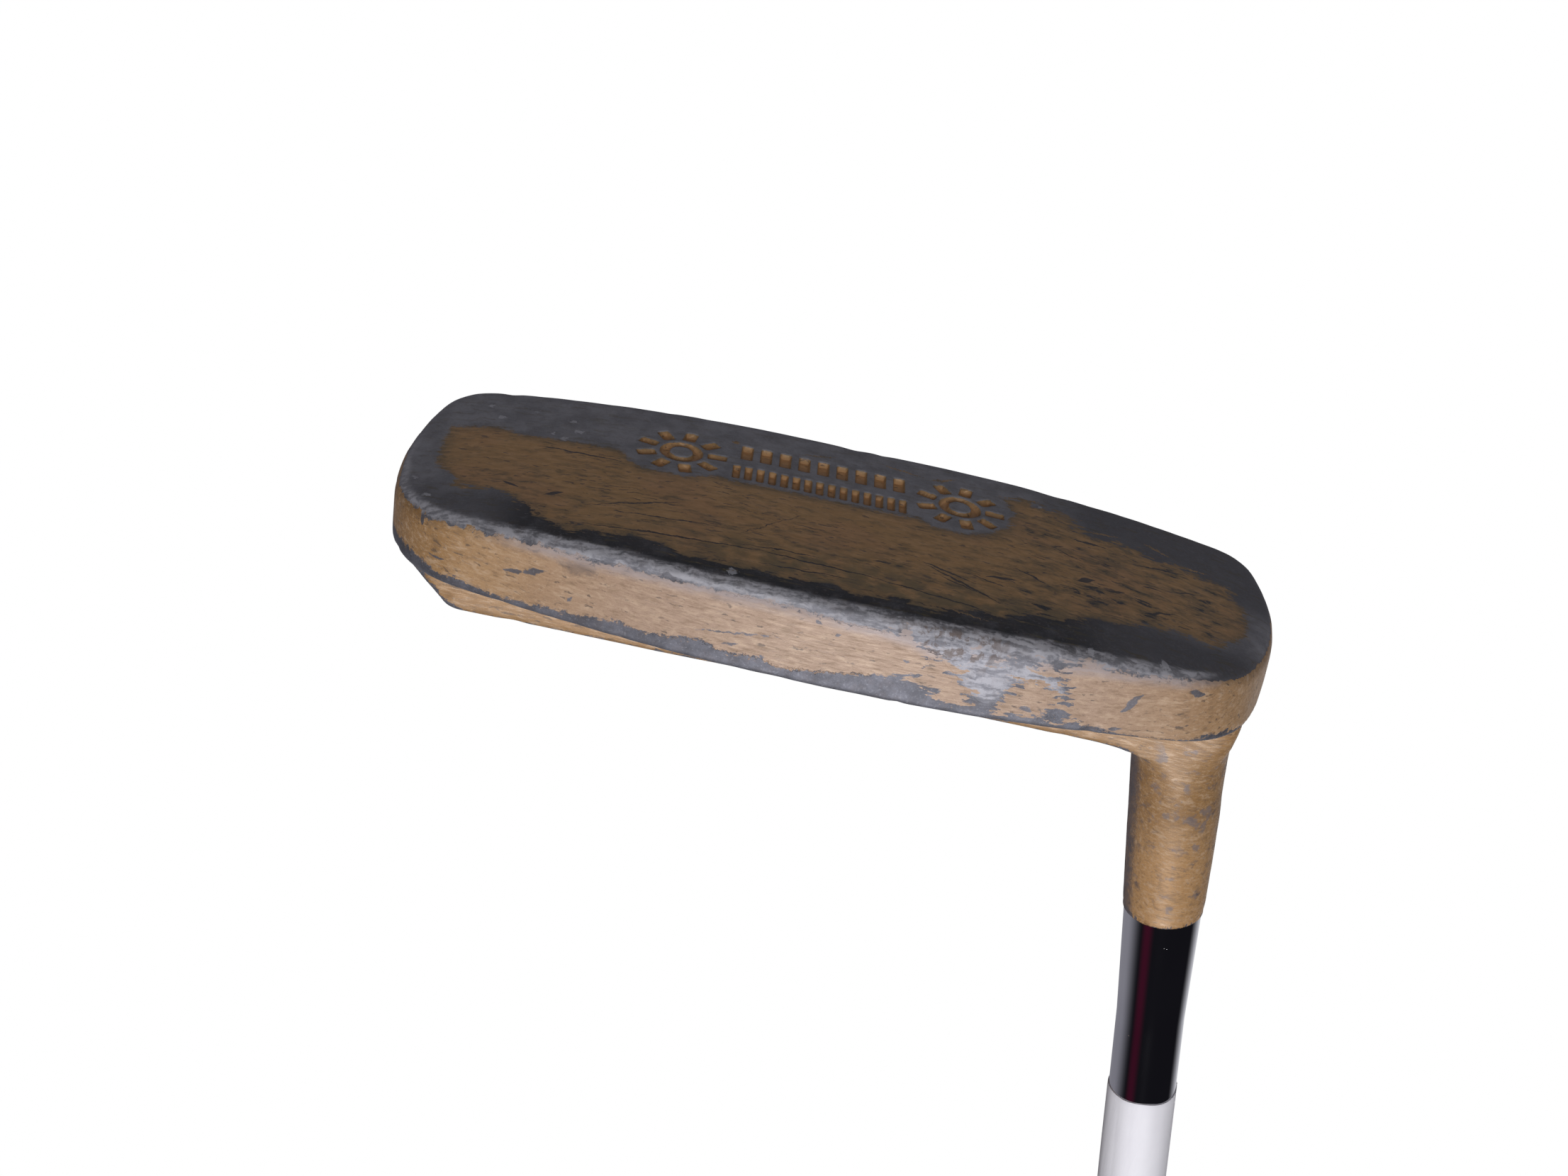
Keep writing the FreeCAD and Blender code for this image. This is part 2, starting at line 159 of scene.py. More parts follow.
def table_of(items, key, width, kind):
    flat = np.empty(len(items) * width, kind)
    items.foreach_get(key, flat)
    return flat.reshape(-1, width)


def coordinates(mesh):
    return table_of(mesh.vertices, "co", 3, np.float32).astype(float) / MM


def set_coordinates(mesh, points):
    mesh.vertices.foreach_set("co", (points * MM).astype(np.float32).ravel())
    mesh.update()


def normals_of(mesh):
    return table_of(mesh.vertices, "normal", 3, np.float32).astype(float)


def edges_of(mesh):
    return table_of(mesh.edges, "vertices", 2, np.int32)


def average_step(points, edges, degree):
    """From each vertex to the middle of its neighbours."""
    total = np.empty_like(points)
    for axis in range(3):
        values = points[:, axis]
        total[:, axis] = np.bincount(edges[:, 0], values[edges[:, 1]], len(points))
        total[:, axis] += np.bincount(edges[:, 1], values[edges[:, 0]], len(points))
    return total / degree[:, None] - points


def smoothed(points, edges, rounds, weight=0.5):
    degree = np.bincount(edges.ravel(), minlength=len(points)).astype(float)
    for _ in range(rounds):
        points = points + np.asarray(weight).reshape(-1, 1) * average_step(points, edges, degree)
    return points


def ramp(value, low, high):
    """0 up to low, 1 from high on and smooth between. Low may be the greater of the two."""
    t = np.clip((value - low) / (high - low), 0.0, 1.0)
    return t * t * (3.0 - 2.0 * t)


def convexity(points, edges, normals, rounds):
    """How far each point stands out from the smoothed shape."""
    return np.einsum("ij,ij->i", points - smoothed(points, edges, rounds), normals)


def about_shaft(points):
    """The distance up the shaft line, the offset from that line and the offset's length."""
    up_shaft = (points - FOOT) @ ALONG
    offset = points - FOOT - up_shaft[:, None] * ALONG
    return up_shaft, offset, np.linalg.norm(offset, axis=1)


def set_values(mesh, **tables):
    for name, values in tables.items():
        attribute = mesh.attributes.new(name, "FLOAT", "POINT")
        attribute.data.foreach_set("value", np.asarray(values, np.float32))


def inside_distance(x, y, outline):
    """Distance to a closed outline, positive inside."""
    corners = np.array(outline)
    nearest = np.full(len(x), 1e9)
    inside = np.zeros(len(x), bool)
    for (ax, ay), (bx, by) in zip(corners, np.roll(corners, -1, axis=0)):
        run_x, run_y = bx - ax, by - ay
        t = np.clip(((x - ax) * run_x + (y - ay) * run_y) / (run_x ** 2 + run_y ** 2), 0.0, 1.0)
        nearest = np.minimum(nearest, np.hypot(x - ax - t * run_x, y - ay - t * run_y))
        if by != ay:
            crosses = (ay > y) != (by > y)
            inside ^= crosses & (x < ax + (y - ay) / (by - ay) * run_x)
    return np.where(inside, nearest, -nearest)


# ---------- meshes ----------

def add_object(name, data):
    made = bpy.data.objects.new(name, data)
    bpy.context.scene.collection.objects.link(made)
    return made


def edit(mesh, change):
    """Lets a function change a mesh in its editable form."""
    work = bmesh.new()
    work.from_mesh(mesh)
    change(work)
    work.to_mesh(mesh)
    work.free()


def ring_angles(segments):
    return np.linspace(0.0, 2.0 * math.pi, segments, endpoint=False)


def ring_shell(name, distances, radii, segments, smooth_angle):
    """A closed loop of rings about the shaft line, angle 0 at its front.

    Both tables have a row for each ring, and one column or a column for each segment.
    """
    angle = ring_angles(segments)
    radii = np.broadcast_to(radii, (len(radii), segments))
    distances = np.broadcast_to(distances, radii.shape)
    points = (FOOT + distances[..., None] * ALONG + (radii * np.cos(angle))[..., None] * FRONT
              + (radii * np.sin(angle))[..., None] * SIDE)
    rings = len(radii)
    faces = []
    for ring in range(rings):
        here, there = ring * segments, (ring + 1) % rings * segments
        for step in range(segments):
            after = (step + 1) % segments
            faces.append((here + step, here + after, there + after, there + step))
    mesh = bpy.data.meshes.new(name)
    mesh.from_pydata([tuple(p) for p in points.reshape(-1, 3) * MM], [], faces)
    edit(mesh, lambda work: bmesh.ops.recalc_face_normals(work, faces=work.faces))
    mesh.shade_smooth()
    mesh.set_sharp_from_angle(angle=math.radians(smooth_angle))
    return add_object(name, mesh)


def dense_copy(node, name, voxel):
    """A fine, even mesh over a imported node's shape, for wear and relief to be worked into."""
    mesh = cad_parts[node].data.copy()
    edit(mesh, lambda work: bmesh.ops.remove_doubles(work, verts=work.verts, dist=0.002 * MM))
    rough = add_object(name + "_rough", mesh)
    remesh = rough.modifiers.new("even", "REMESH")
    remesh.mode = "VOXEL"
    remesh.voxel_size = voxel * MM
    bpy.context.view_layer.update()
    fine = bpy.data.meshes.new_from_object(rough.evaluated_get(bpy.context.evaluated_depsgraph_get()))
    bpy.data.objects.remove(rough)
    fine.name = name
    fine.materials.clear()
    return add_object(name, fine)


# ---------- node trees ----------

class Nodes:
    """Short names for the nodes of a material or world. A value is a number or a socket."""

    def __init__(self, owner):
        owner.use_nodes = True
        self.owner, self.tree = owner, owner.node_tree
        self.tree.nodes.clear()

    def put(self, socket, value):
        if isinstance(value, bpy.types.NodeSocket):
            self.tree.links.new(value, socket)
        elif isinstance(value, (tuple, list)) and socket.type == "RGBA":
            socket.default_value = (*value, 1.0)[:4]
        else:
            socket.default_value = value

    def add(self, kind, inputs=(), **settings):
        node = self.tree.nodes.new("ShaderNode" + kind)
        for name, value in settings.items():
            setattr(node, name, value)
        for key, value in dict(inputs).items():
            self.put(node.inputs[key], value)
        return node

    def math(self, operation, *values):
        return self.add("Math", dict(enumerate(values)), operation=operation).outputs[0]

    def times(self, first, second):
        return self.math("MULTIPLY", first, second)

    def plus(self, first, second):
        return self.math("ADD", first, second)

    def minus(self, first, second):
        return self.math("SUBTRACT", first, second)

    def least(self, distances):
        found = None
        for distance in distances:
            found = distance if found is None else self.math("MINIMUM", found, distance)
        return found

    def vector(self, operation, *values):
        return self.add("VectorMath", dict(enumerate(values)), operation=operation).outputs[0]

    def distance(self, place, point):
        return self.add("VectorMath", {0: place, 1: point}, operation="DISTANCE").outputs["Value"]

    def noise(self, place, scale, detail=2.0, roughness=0.5, distortion=0.0):
        inputs = {"Vector": place, "Scale": scale, "Detail": detail, "Roughness": roughness,
                  "Distortion": distortion}
        return self.add("TexNoise", inputs).outputs["Fac"]

    def around(self, value, size):
        """A noise value spread about zero, size each way at most."""
        return self.times(self.minus(value, 0.5), 2.0 * size)

    def step(self, value, low, high, out_low=0.0, out_high=1.0):
        inputs = {"Value": value, "From Min": low, "From Max": high, "To Min": out_low, "To Max": out_high}
        return self.add("MapRange", inputs, interpolation_type="SMOOTHSTEP").outputs[0]

    def mix(self, share, first, second):
        return self.add("Mix", {0: share, 6: first, 7: second}, data_type="RGBA").outputs[2]

    def tint(self, colour, tone, most, share):
        """Mixes a tone into a colour where the share is high, up to the most given."""
        return self.mix(self.times(share, most), colour, tone)

    def blend(self, share, first, second):
        return self.add("Mix", {0: share, 2: first, 3: second}, data_type="FLOAT").outputs[0]

    def place(self):
        """The piece's own coordinates in millimetres."""
        return self.vector("MULTIPLY", self.add("TexCoord").outputs["Object"], (1 / MM,) * 3)

    def stretched(self, place, degrees, size):
        turn = tuple(math.radians(angle) for angle in degrees)
        return self.add("Mapping", {"Vector": place, "Rotation": turn, "Scale": size}).outputs[0]

    def attribute(self, name):
        return self.add("Attribute", attribute_name=name).outputs["Fac"]

    def finish(self, colour, roughness, height, strength, others=()):
        """The finished material, with a bump whose height is in millimetres."""
        normal = self.add("Bump", {"Height": height, "Distance": MM, "Strength": strength}).outputs[0]
        inputs = {"Base Color": colour, "Roughness": roughness, "Normal": normal, **dict(others)}
        shader = self.add("BsdfPrincipled", inputs)
        self.add("OutputMaterial", {"Surface": shader.outputs[0]})
        return self.owner


def new_material(name):
    nodes = Nodes(bpy.data.materials.new(name))
    return nodes, nodes.place()


def stroke(nodes, place, x0, y0, x1, y1, half_width):
    """A tapered scratch in the plane of the first two coordinates: below zero inside it."""
    half_length = math.hypot(x1 - x0, y1 - y0) / 2.0
    local = nodes.add("Mapping", {
        "Vector": place, "Location": ((x0 + x1) / 2.0, (y0 + y1) / 2.0, 0.0),
        "Rotation": (0.0, 0.0, math.atan2(y1 - y0, x1 - x0)), "Scale": (half_length, 1.0, 1.0),
    }, vector_type="TEXTURE").outputs[0]
    parts = nodes.add("SeparateXYZ", {0: local}).outputs
    taper = nodes.times(parts[0], parts[0])
    across = nodes.math("ABSOLUTE", parts[1])
    return nodes.math("MULTIPLY_ADD", taper, half_width, nodes.minus(across, half_width))


def nearest_stroke(nodes, place, strokes):
    return nodes.least(stroke(nodes, place, *values) for values in strokes)


# ---------- materials ----------

def head_material():
    n, place = new_material("worn_gold_paint")
    warp = n.add("TexNoise", {"Vector": place, "Scale": 0.55, "Detail": 3.0}).outputs["Color"]
    shift = n.vector("MULTIPLY", n.vector("SUBTRACT", warp, (0.5, 0.5, 0.5)), (1.1, 1.1, 1.1))
    warped = n.vector("ADD", place, shift)
    parts = n.add("SeparateXYZ", {0: warped}).outputs
    side_place = n.add("CombineXYZ", {0: parts[0], 1: parts[2]}).outputs[0]
    sole_place = n.add("CombineXYZ", {0: parts[0], 1: parts[1]}).outputs[0]
    under = n.attribute("under")
    on_band = n.attribute("band")

    # How far inside the paint a point lies, with a ragged, streaky edge
    field = n.attribute("paint")
    coarse = n.noise(place, 0.30, 3.0, 0.6)
    fine = n.noise(warped, 1.7, 4.0, 0.65)
    drag = n.noise(n.stretched(warped, (0.0, 0.0, -9.0), (0.22, 1.5, 1.5)), 1.0, 3.0, 0.6)
    ragged = n.attribute("ragged")
    field = n.plus(field, n.around(fine, 1.0))
    field = n.plus(field, n.times(ragged, n.around(coarse, 2.2)))
    field = n.plus(field, n.times(ragged, n.around(drag, 2.6)))
    # Chips: small places where the paint has gone
    chip_size = n.attribute("chips")
    chip_place = n.stretched(warped, (0.0, 0.0, -14.0), (0.45, 1.0, 1.0))
    chip_noise = n.noise(chip_place, 0.66, 4.0, 0.62)
    chip = n.minus(n.minus(0.80, n.times(chip_size, 0.19)), chip_noise)
    field = n.math("MINIMUM", field, n.times(chip, 8.0))
    # Paint that stays on the bare margins in streaks, and in the relief
    streaks = nearest_stroke(n, warped, SOLE_STREAKS)
    streaks = n.plus(streaks, n.around(n.noise(place, 4.0, 2.0), 0.5))
    kept = n.times(n.step(streaks, 0.10, -0.10), under)
    groove = n.attribute("groove")
    filled = n.step(n.plus(groove, n.around(n.noise(place, 3.2, 2.0), 0.16)), 0.10, 0.25)
    kept = n.math("MAXIMUM", kept, filled)
    sole_cut = nearest_stroke(n, warped, SOLE_SCRATCHES)
    sole_cut = n.plus(sole_cut, n.around(fine, 0.16))
    band_cut = nearest_stroke(n, side_place, BAND_SCRATCHES)
    band_cut = n.plus(band_cut, n.around(fine, 0.32))
    cut = n.math("MAXIMUM", n.times(n.step(sole_cut, 0.07, -0.05), under),
                 n.times(n.step(band_cut, 0.08, -0.06), on_band))
    # Fine scattered scratches in three directions
    hairs = 0.0
    for turn, length, spacing, share in ((4.0, 9.0, 0.40, 0.68), (-24.0, 6.0, 0.34, 0.70),
                                         (33.0, 5.0, 0.36, 0.72)):
        size = (1.0 / length, 1.0 / spacing, 1.0 / spacing)
        value = n.noise(n.stretched(warped, (0.0, 0.0, turn), size), 1.0, 1.0, 0.4)
        hairs = n.math("MAXIMUM", hairs, n.step(value, share, share + 0.035))
    hair_zone = n.step(n.noise(place, 0.11, 2.0), 0.42, 0.62)
    hairs = n.times(n.times(hairs, hair_zone), n.blend(under, 0.3, 1.0))
    on_neck = n.attribute("neck")
    softness = n.blend(on_neck, n.blend(under, 0.18, 0.42), 1.1)
    painted = n.step(field, n.times(softness, -1.0), softness)
    painted = n.times(painted, n.minus(1.0, n.times(cut, 0.92)))
    painted = n.times(painted, n.minus(1.0, n.times(hairs, 0.70)))
    painted = n.math("MAXIMUM", painted, kept)

    # Paint: bronze gold with flake, lengthwise brush marks and stains
    brush_place = n.stretched(place, (0.0, 9.0, 0.0), (0.12, 1.0, 1.0))
    brush = n.noise(brush_place, 3.4, 3.0, 0.7)
    grain = n.noise(place, 5.5, 3.0, 0.75)
    cloud = n.noise(place, 0.16, 3.0, 0.55)
    paint = n.mix(n.step(cloud, 0.32, 0.68), (0.370, 0.214, 0.098), (0.430, 0.258, 0.126))
    # Paler, pinker paint in the middle of the back edge: partly bleached paint, partly a painted sheen where
    # the key lamp reflects
    paint = n.mix(n.attribute("bleached"), paint, (0.404, 0.271, 0.193))
    # Darker golden-brown paint at the toe end, on the blade above the flange and low on the neck: partly the
    # paint's own tone, partly painted shade
    golden = n.times(n.attribute("golden"), n.step(coarse, 0.35, 0.65, 0.50, 1.0))
    paint = n.mix(golden, paint, (0.295, 0.158, 0.057))
    paint = n.mix(n.attribute("faded"), paint, (0.480, 0.270, 0.115))
    mottle = n.noise(n.stretched(warped, (0.0, 20.0, 0.0), (0.35, 1.0, 1.0)), 1.3, 3.0, 0.6)
    for marks, low, high, most, tone in (
            (brush, 0.50, 0.70, 0.48, (0.56, 0.40, 0.27)),
            (brush, 0.47, 0.30, 0.58, (0.235, 0.145, 0.082)),
            (grain, 0.56, 0.74, 0.42, (0.66, 0.51, 0.37)),
            (grain, 0.43, 0.28, 0.42, (0.205, 0.130, 0.080)),
            (mottle, 0.52, 0.70, 0.42, (0.60, 0.44, 0.31)),
            (mottle, 0.47, 0.31, 0.44, (0.215, 0.135, 0.075))):
        paint = n.tint(paint, tone, most, n.step(marks, low, high))
    sole_paint = n.mix(n.step(mottle, 0.35, 0.65), (0.43, 0.245, 0.095), (0.53, 0.305, 0.130))
    paint = n.tint(paint, sole_paint, 0.80, under)
    rusty = n.times(n.step(n.noise(place, 0.075, 2.0), 0.50, 0.66), under)
    paint = n.tint(paint, (0.46, 0.235, 0.125), 0.30, rusty)
    # Slate smears on the neck, and olive patches where the sole's paint is thin
    patches = n.noise(warped, 0.42, 3.0)
    smear = n.times(n.step(patches, 0.61, 0.70), on_neck)
    paint = n.tint(paint, (0.165, 0.155, 0.178), 0.60, smear)
    olive = n.times(n.step(patches, 0.36, 0.62), n.attribute("thin"))
    paint = n.tint(paint, (0.150, 0.122, 0.060), 0.70, olive)
    # Where the sole's paint thins out towards bare metal it turns dark and olive
    thinning = n.times(n.step(field, 2.4, 0.0), under)
    thinning = n.times(thinning, n.step(drag, 0.34, 0.62, 0.25, 0.90))
    paint = n.mix(thinning, paint, (0.135, 0.102, 0.055))
    paint = n.tint(paint, (0.64, 0.365, 0.180), 0.80, groove)
    stain = n.times(n.step(n.noise(warped, 0.9, 4.0, 0.7), 0.60, 0.74), n.step(coarse, 0.48, 0.62))
    paint = n.tint(paint, (0.15, 0.105, 0.075), 0.45, stain)
    fleck_place = n.stretched(warped, (0.0, 24.0, 0.0), (0.30, 1.0, 1.0))
    fleck = n.step(n.noise(fleck_place, 1.9, 2.0, 0.5), n.blend(n.attribute("bleached"), 0.60, 0.64), 0.72)
    paint = n.mix(n.times(fleck, n.blend(on_neck, 0.72, 0.34)), paint, (0.11, 0.080, 0.062))
    # A soft smudge on the back edge
    smudge = n.plus(nearest_stroke(n, side_place, BAND_SMUDGES), n.around(fine, 1.3))
    smudge = n.times(n.step(smudge, 0.5, -0.6), on_band)
    paint = n.tint(paint, (0.165, 0.120, 0.098), 0.62, smudge)
    # Beside the worn strip with its painted highlight the paint has gone pale
    pale_foot = n.times(n.attribute("blanched"), n.step(drag, 0.30, 0.60, 0.45, 0.85))
    paint = n.mix(pale_foot, paint, (0.440, 0.375, 0.375))

    # Metal: dark zinc, paler where it rubs, and palest along the sole's back fillet, partly as a painted
    # highlight
    tone = n.step(n.noise(place, 0.36, 4.0, 0.6), 0.34, 0.68)
    metal = n.mix(tone, (0.100, 0.100, 0.118), (0.160, 0.160, 0.188))
    # Bare metal on the neck is grey-mauve; most of it shows on the neck's toe side, where it is painted shade
    metal = n.tint(metal, (0.215, 0.170, 0.165), 0.6, on_neck)
    # The sole is scuffed to a dull grey with olive streaks
    dull = n.mix(n.step(coarse, 0.34, 0.66), (0.205, 0.203, 0.226), (0.290, 0.287, 0.318))
    dull = n.tint(dull, (0.150, 0.128, 0.080), 0.50, n.step(drag, 0.52, 0.74))
    metal = n.mix(under, metal, dull)
    pits = n.noise(warped, 3.4, 3.0, 0.6)
    metal = n.tint(metal, (0.060, 0.058, 0.070), 0.30, n.step(pits, 0.54, 0.74))
    metal = n.tint(metal, (0.36, 0.36, 0.40), 0.30, n.step(pits, 0.46, 0.28))
    # It is tarnished almost black towards the back, and wherever the paint has let go
    dark = n.attribute("dark")
    tarnish = n.times(dark, n.step(n.plus(coarse, n.around(fine, 0.2)), 0.20, 0.52, 0.60, 0.98))
    let_go = n.times(n.step(n.attribute("paint"), 0.4, 1.6, 0.0, 0.88), under)
    tarnish = n.math("MAXIMUM", tarnish, let_go)
    metal = n.mix(tarnish, metal, (0.026, 0.027, 0.031))
    # A film of old paint and pale specks lie on the tarnish
    film = n.times(n.step(drag, 0.54, 0.72), n.times(tarnish, under))
    metal = n.tint(metal, (0.130, 0.105, 0.045), 0.55, film)
    speck = n.times(n.step(fine, 0.56, 0.74), n.times(dark, under))
    metal = n.tint(metal, (0.215, 0.212, 0.240), 0.45, speck)
    # Along the sole's back fillet the bare metal is painted pale: partly rubbed zinc, partly a painted
    # highlight; the worn patch on the back edge is pale metal
    streaky = n.step(n.plus(drag, n.around(fine, 0.22)), 0.36, 0.62, 0.25, 1.0)
    rubbed = n.times(n.attribute("rubbed"), streaky)
    metal = n.mix(rubbed, metal, (0.430, 0.424, 0.470))
    nicks = n.least(n.minus(n.distance(sole_place, (x, y, 0.0)), radius) for x, y, radius in SOLE_NICKS)
    pale = n.times(n.step(n.plus(nicks, n.around(fine, 0.9)), 0.10, -0.16), under)
    metal = n.tint(metal, (0.60, 0.60, 0.66), 0.55, pale)
    brown = n.times(n.attribute("rust"), n.step(n.noise(warped, 0.75, 4.0, 0.65), 0.47, 0.60))
    metal = n.tint(metal, (0.105, 0.068, 0.050), 0.75, brown)

    colour = n.mix(painted, metal, paint)
    # The relief of the surface stays with a few noises, because a bump node copies what feeds it
    coat = n.step(n.plus(n.attribute("paint"), n.around(fine, 1.0)), -0.16, 0.16)
    height = n.times(n.times(coat, n.step(ragged, 0.80, 0.40)), 0.030)
    height = n.plus(height, n.times(n.times(brush, coat), 0.016))
    height = n.plus(height, n.times(grain, n.blend(under, 0.010, 0.0025)))
    height = n.plus(height, n.times(pits, n.blend(under, 0.008, 0.0020)))
    roughness = n.blend(painted, n.blend(rubbed, 0.54, 0.50), n.step(brush, 0.25, 0.75, 0.52, 0.42))
    roughness = n.plus(roughness, n.around(grain, 0.05))
    metallic = n.blend(painted, n.blend(rubbed, n.blend(under, 0.55, 0.30), 0.12), 0.08)
    return n.finish(colour, roughness, height, 0.9, {"Metallic": metallic, "Specular IOR Level": 0.38})


def chrome_material():
    n, place = new_material("plated_steel")
    along = n.stretched(place, WITH_SHAFT, (1.0, 1.0, 0.03))
    drawn = n.noise(along, 5.0, 3.0, 0.6)
    haze = n.noise(place, 0.05, 3.0, 0.6)
    specks = n.noise(place, 0.9, 3.0, 0.6)
    rust = n.step(specks, 0.735, 0.765)
    turned_marks = n.noise(n.stretched(place, WITH_SHAFT, (0.05, 0.05, 6.0)), 1.0, 2.0)
    scuff = n.times(n.step(drawn, 0.62, 0.78), n.step(haze, 0.45, 0.65))
    colour = n.mix(n.step(haze, 0.3, 0.7), (0.80, 0.80, 0.83), (0.72, 0.72, 0.76))
    colour = n.tint(colour, (0.50, 0.50, 0.53), 0.4, scuff)
    colour = n.mix(rust, colour, (0.16, 0.085, 0.045))
    roughness = n.plus(n.step(haze, 0.3, 0.8, 0.025, 0.06), n.times(scuff, 0.05))
    roughness = n.plus(roughness, n.times(rust, 0.5))
    height = n.plus(n.times(drawn, 0.0012), n.times(turned_marks, 0.0008))
    height = n.plus(height, n.times(rust, 0.02))
    return n.finish(colour, roughness, height, 0.8, {"Metallic": n.minus(1.0, n.times(rust, 0.9))})


def paper_material():
    n, place = new_material("label_paper")
    fibre = n.noise(n.stretched(place, WITH_SHAFT, (1.0, 1.0, 0.35)), 5.0, 4.0, 0.7)
    cloud = n.noise(place, 0.10, 3.0, 0.6)
    crease = n.noise(n.stretched(place, WITH_SHAFT, (0.6, 0.6, 0.05)), 1.0, 3.0, 0.6, 0.4)
    dirt = n.times(n.step(n.noise(place, 0.5, 4.0, 0.7), 0.56, 0.80), n.step(cloud, 0.45, 0.70))
    colour = n.mix(n.step(cloud, 0.3, 0.7), (0.880, 0.862, 0.925), (0.915, 0.902, 0.958))
    colour = n.tint(colour, (0.90, 0.90, 0.92), 0.25, n.step(fibre, 0.55, 0.75))
    colour = n.tint(colour, (0.62, 0.60, 0.60), 0.35, dirt)
    colour = n.tint(colour, (0.56, 0.55, 0.60), 0.16, n.attribute("edge"))
    height = n.plus(n.times(fibre, 0.010), n.times(crease, 0.05))
    return n.finish(colour, n.step(fibre, 0.3, 0.7, 0.48, 0.62), height, 0.8)


def rubber_material():
    n, place = new_material("moulded_rubber")
    grain = n.noise(place, 3.0, 4.0, 0.7)
    cloud = n.noise(place, 0.06, 3.0, 0.6)
    worn = n.attribute("worn")
    dust = n.times(n.attribute("low"), n.step(n.noise(place, 0.4, 3.0), 0.35, 0.65))
    colour = n.mix(n.step(cloud, 0.3, 0.7), (0.022, 0.022, 0.024), (0.034, 0.033, 0.034))
    colour = n.tint(colour, (0.055, 0.054, 0.055), 0.5, n.step(grain, 0.56, 0.76))
    colour = n.tint(colour, (0.17, 0.16, 0.145), 0.30, dust)
    polish = n.times(worn, n.step(cloud, 0.40, 0.60))
    colour = n.tint(colour, (0.050, 0.048, 0.047), 0.45, polish)
    roughness = n.minus(n.step(grain, 0.3, 0.7, 0.60, 0.76), n.times(polish, 0.20))
    return n.finish(colour, roughness, n.times(grain, 0.035), 0.9)


def tape_material():
    n, place = new_material("crepe_tape")
    crepe = n.noise(n.stretched(place, WITH_SHAFT, (0.25, 0.25, 2.4)), 1.2, 3.0, 0.6)
    stain = n.noise(place, 0.12, 3.0)
    colour = n.mix(n.step(crepe, 0.3, 0.7), (0.52, 0.43, 0.29), (0.66, 0.57, 0.40))
    colour = n.tint(colour, (0.40, 0.31, 0.20), 0.4, n.step(stain, 0.5, 0.7))
    return n.finish(colour, n.step(stain, 0.3, 0.7, 0.66, 0.82), n.times(crepe, 0.06), 0.9)


def adhesive_material():
    n, place = new_material("cured_adhesive")
    flow = n.noise(place, 0.6, 3.0, 0.6, 0.5)
    bubbles = n.noise(place, 3.5, 2.0, 0.5)
    colour = n.mix(n.step(flow, 0.3, 0.7), (0.30, 0.22, 0.10), (0.42, 0.31, 0.15))
    colour = n.tint(colour, (0.60, 0.50, 0.32), 0.5, n.step(bubbles, 0.62, 0.75))
    return n.finish(colour, n.step(flow, 0.3, 0.7, 0.25, 0.42), n.times(bubbles, 0.04), 0.8)


# ---------- relief on the sole ----------

RELIEF_DEPTH = 0.72
RELIEF_LOW = (-21.5, 2.4)
RELIEF_HIGH = (28.5, 16.4)
RELIEF_CUTS = 2
BAR_ROUNDING = 0.22
# Rows of bars, as (count, x of the first, spacing, y, half width, half height)
BAR_ROWS = [(9, 13.2, 2.4, 12.1, 0.66, 1.9), (15, 14.2, 1.48, 6.5, 0.42, 1.75)]
ROSETTE_CENTRES = [(21.2, 9.3), (-13.7, 9.6)]
ROSETTE_RADIUS = 5.4
ROSETTE_RAYS = 9


def bar_distance(x, y, half_x, half_y):
    """Distance to a bar with rounded corners about the origin, below zero inside."""
    over_x = np.abs(x) - half_x + BAR_ROUNDING
    over_y = np.abs(y) - half_y + BAR_ROUNDING
    outside = np.hypot(np.maximum(over_x, 0.0), np.maximum(over_y, 0.0))
    return outside + np.minimum(np.maximum(over_x, over_y), 0.0) - BAR_ROUNDING


def rosette_distance(x, y):
    """A small ring with separate rays round it about the origin, below zero inside."""
    found = np.abs(np.hypot(x, y) - ROSETTE_RADIUS * 0.38) - 0.58
    for ray in range(ROSETTE_RAYS):
        angle = 2.0 * math.pi * (ray + 0.5) / ROSETTE_RAYS
        along = x * math.cos(angle) + y * math.sin(angle) - ROSETTE_RADIUS * 0.82
        across = y * math.cos(angle) - x * math.sin(angle)
        found = np.minimum(found, bar_distance(along, across, ROSETTE_RADIUS * 0.21, 0.74))
    return found


def relief_distance(x, y):
    """Two rows of plain bars between two plain rosettes."""
    found = [rosette_distance(x - centre_x, y - centre_y) for centre_x, centre_y in ROSETTE_CENTRES]
    for count, first, spacing, middle, half_x, half_y in BAR_ROWS:
        found += [bar_distance(x - (first - spacing * bar), y - middle, half_x, half_y)
                  for bar in range(count)]
    return np.minimum.reduce(found)


# ---------- pieces ----------

HEAD_VOXEL = 0.45
ROOT_ROUNDS = 14
ROOT_STEPS = 12
CORNER_ROUNDS = 70
KNOCK_COUNT = 70
KNOCK_SEED = 11
KNOCK_DEEPEST = 0.22
# Middle and half size, as (x, height), of the patch worn bare on the face
FACE_WEAR_MIDDLE = (3.0, 13.5)
FACE_WEAR_SIZE = (21.0, 8.5)


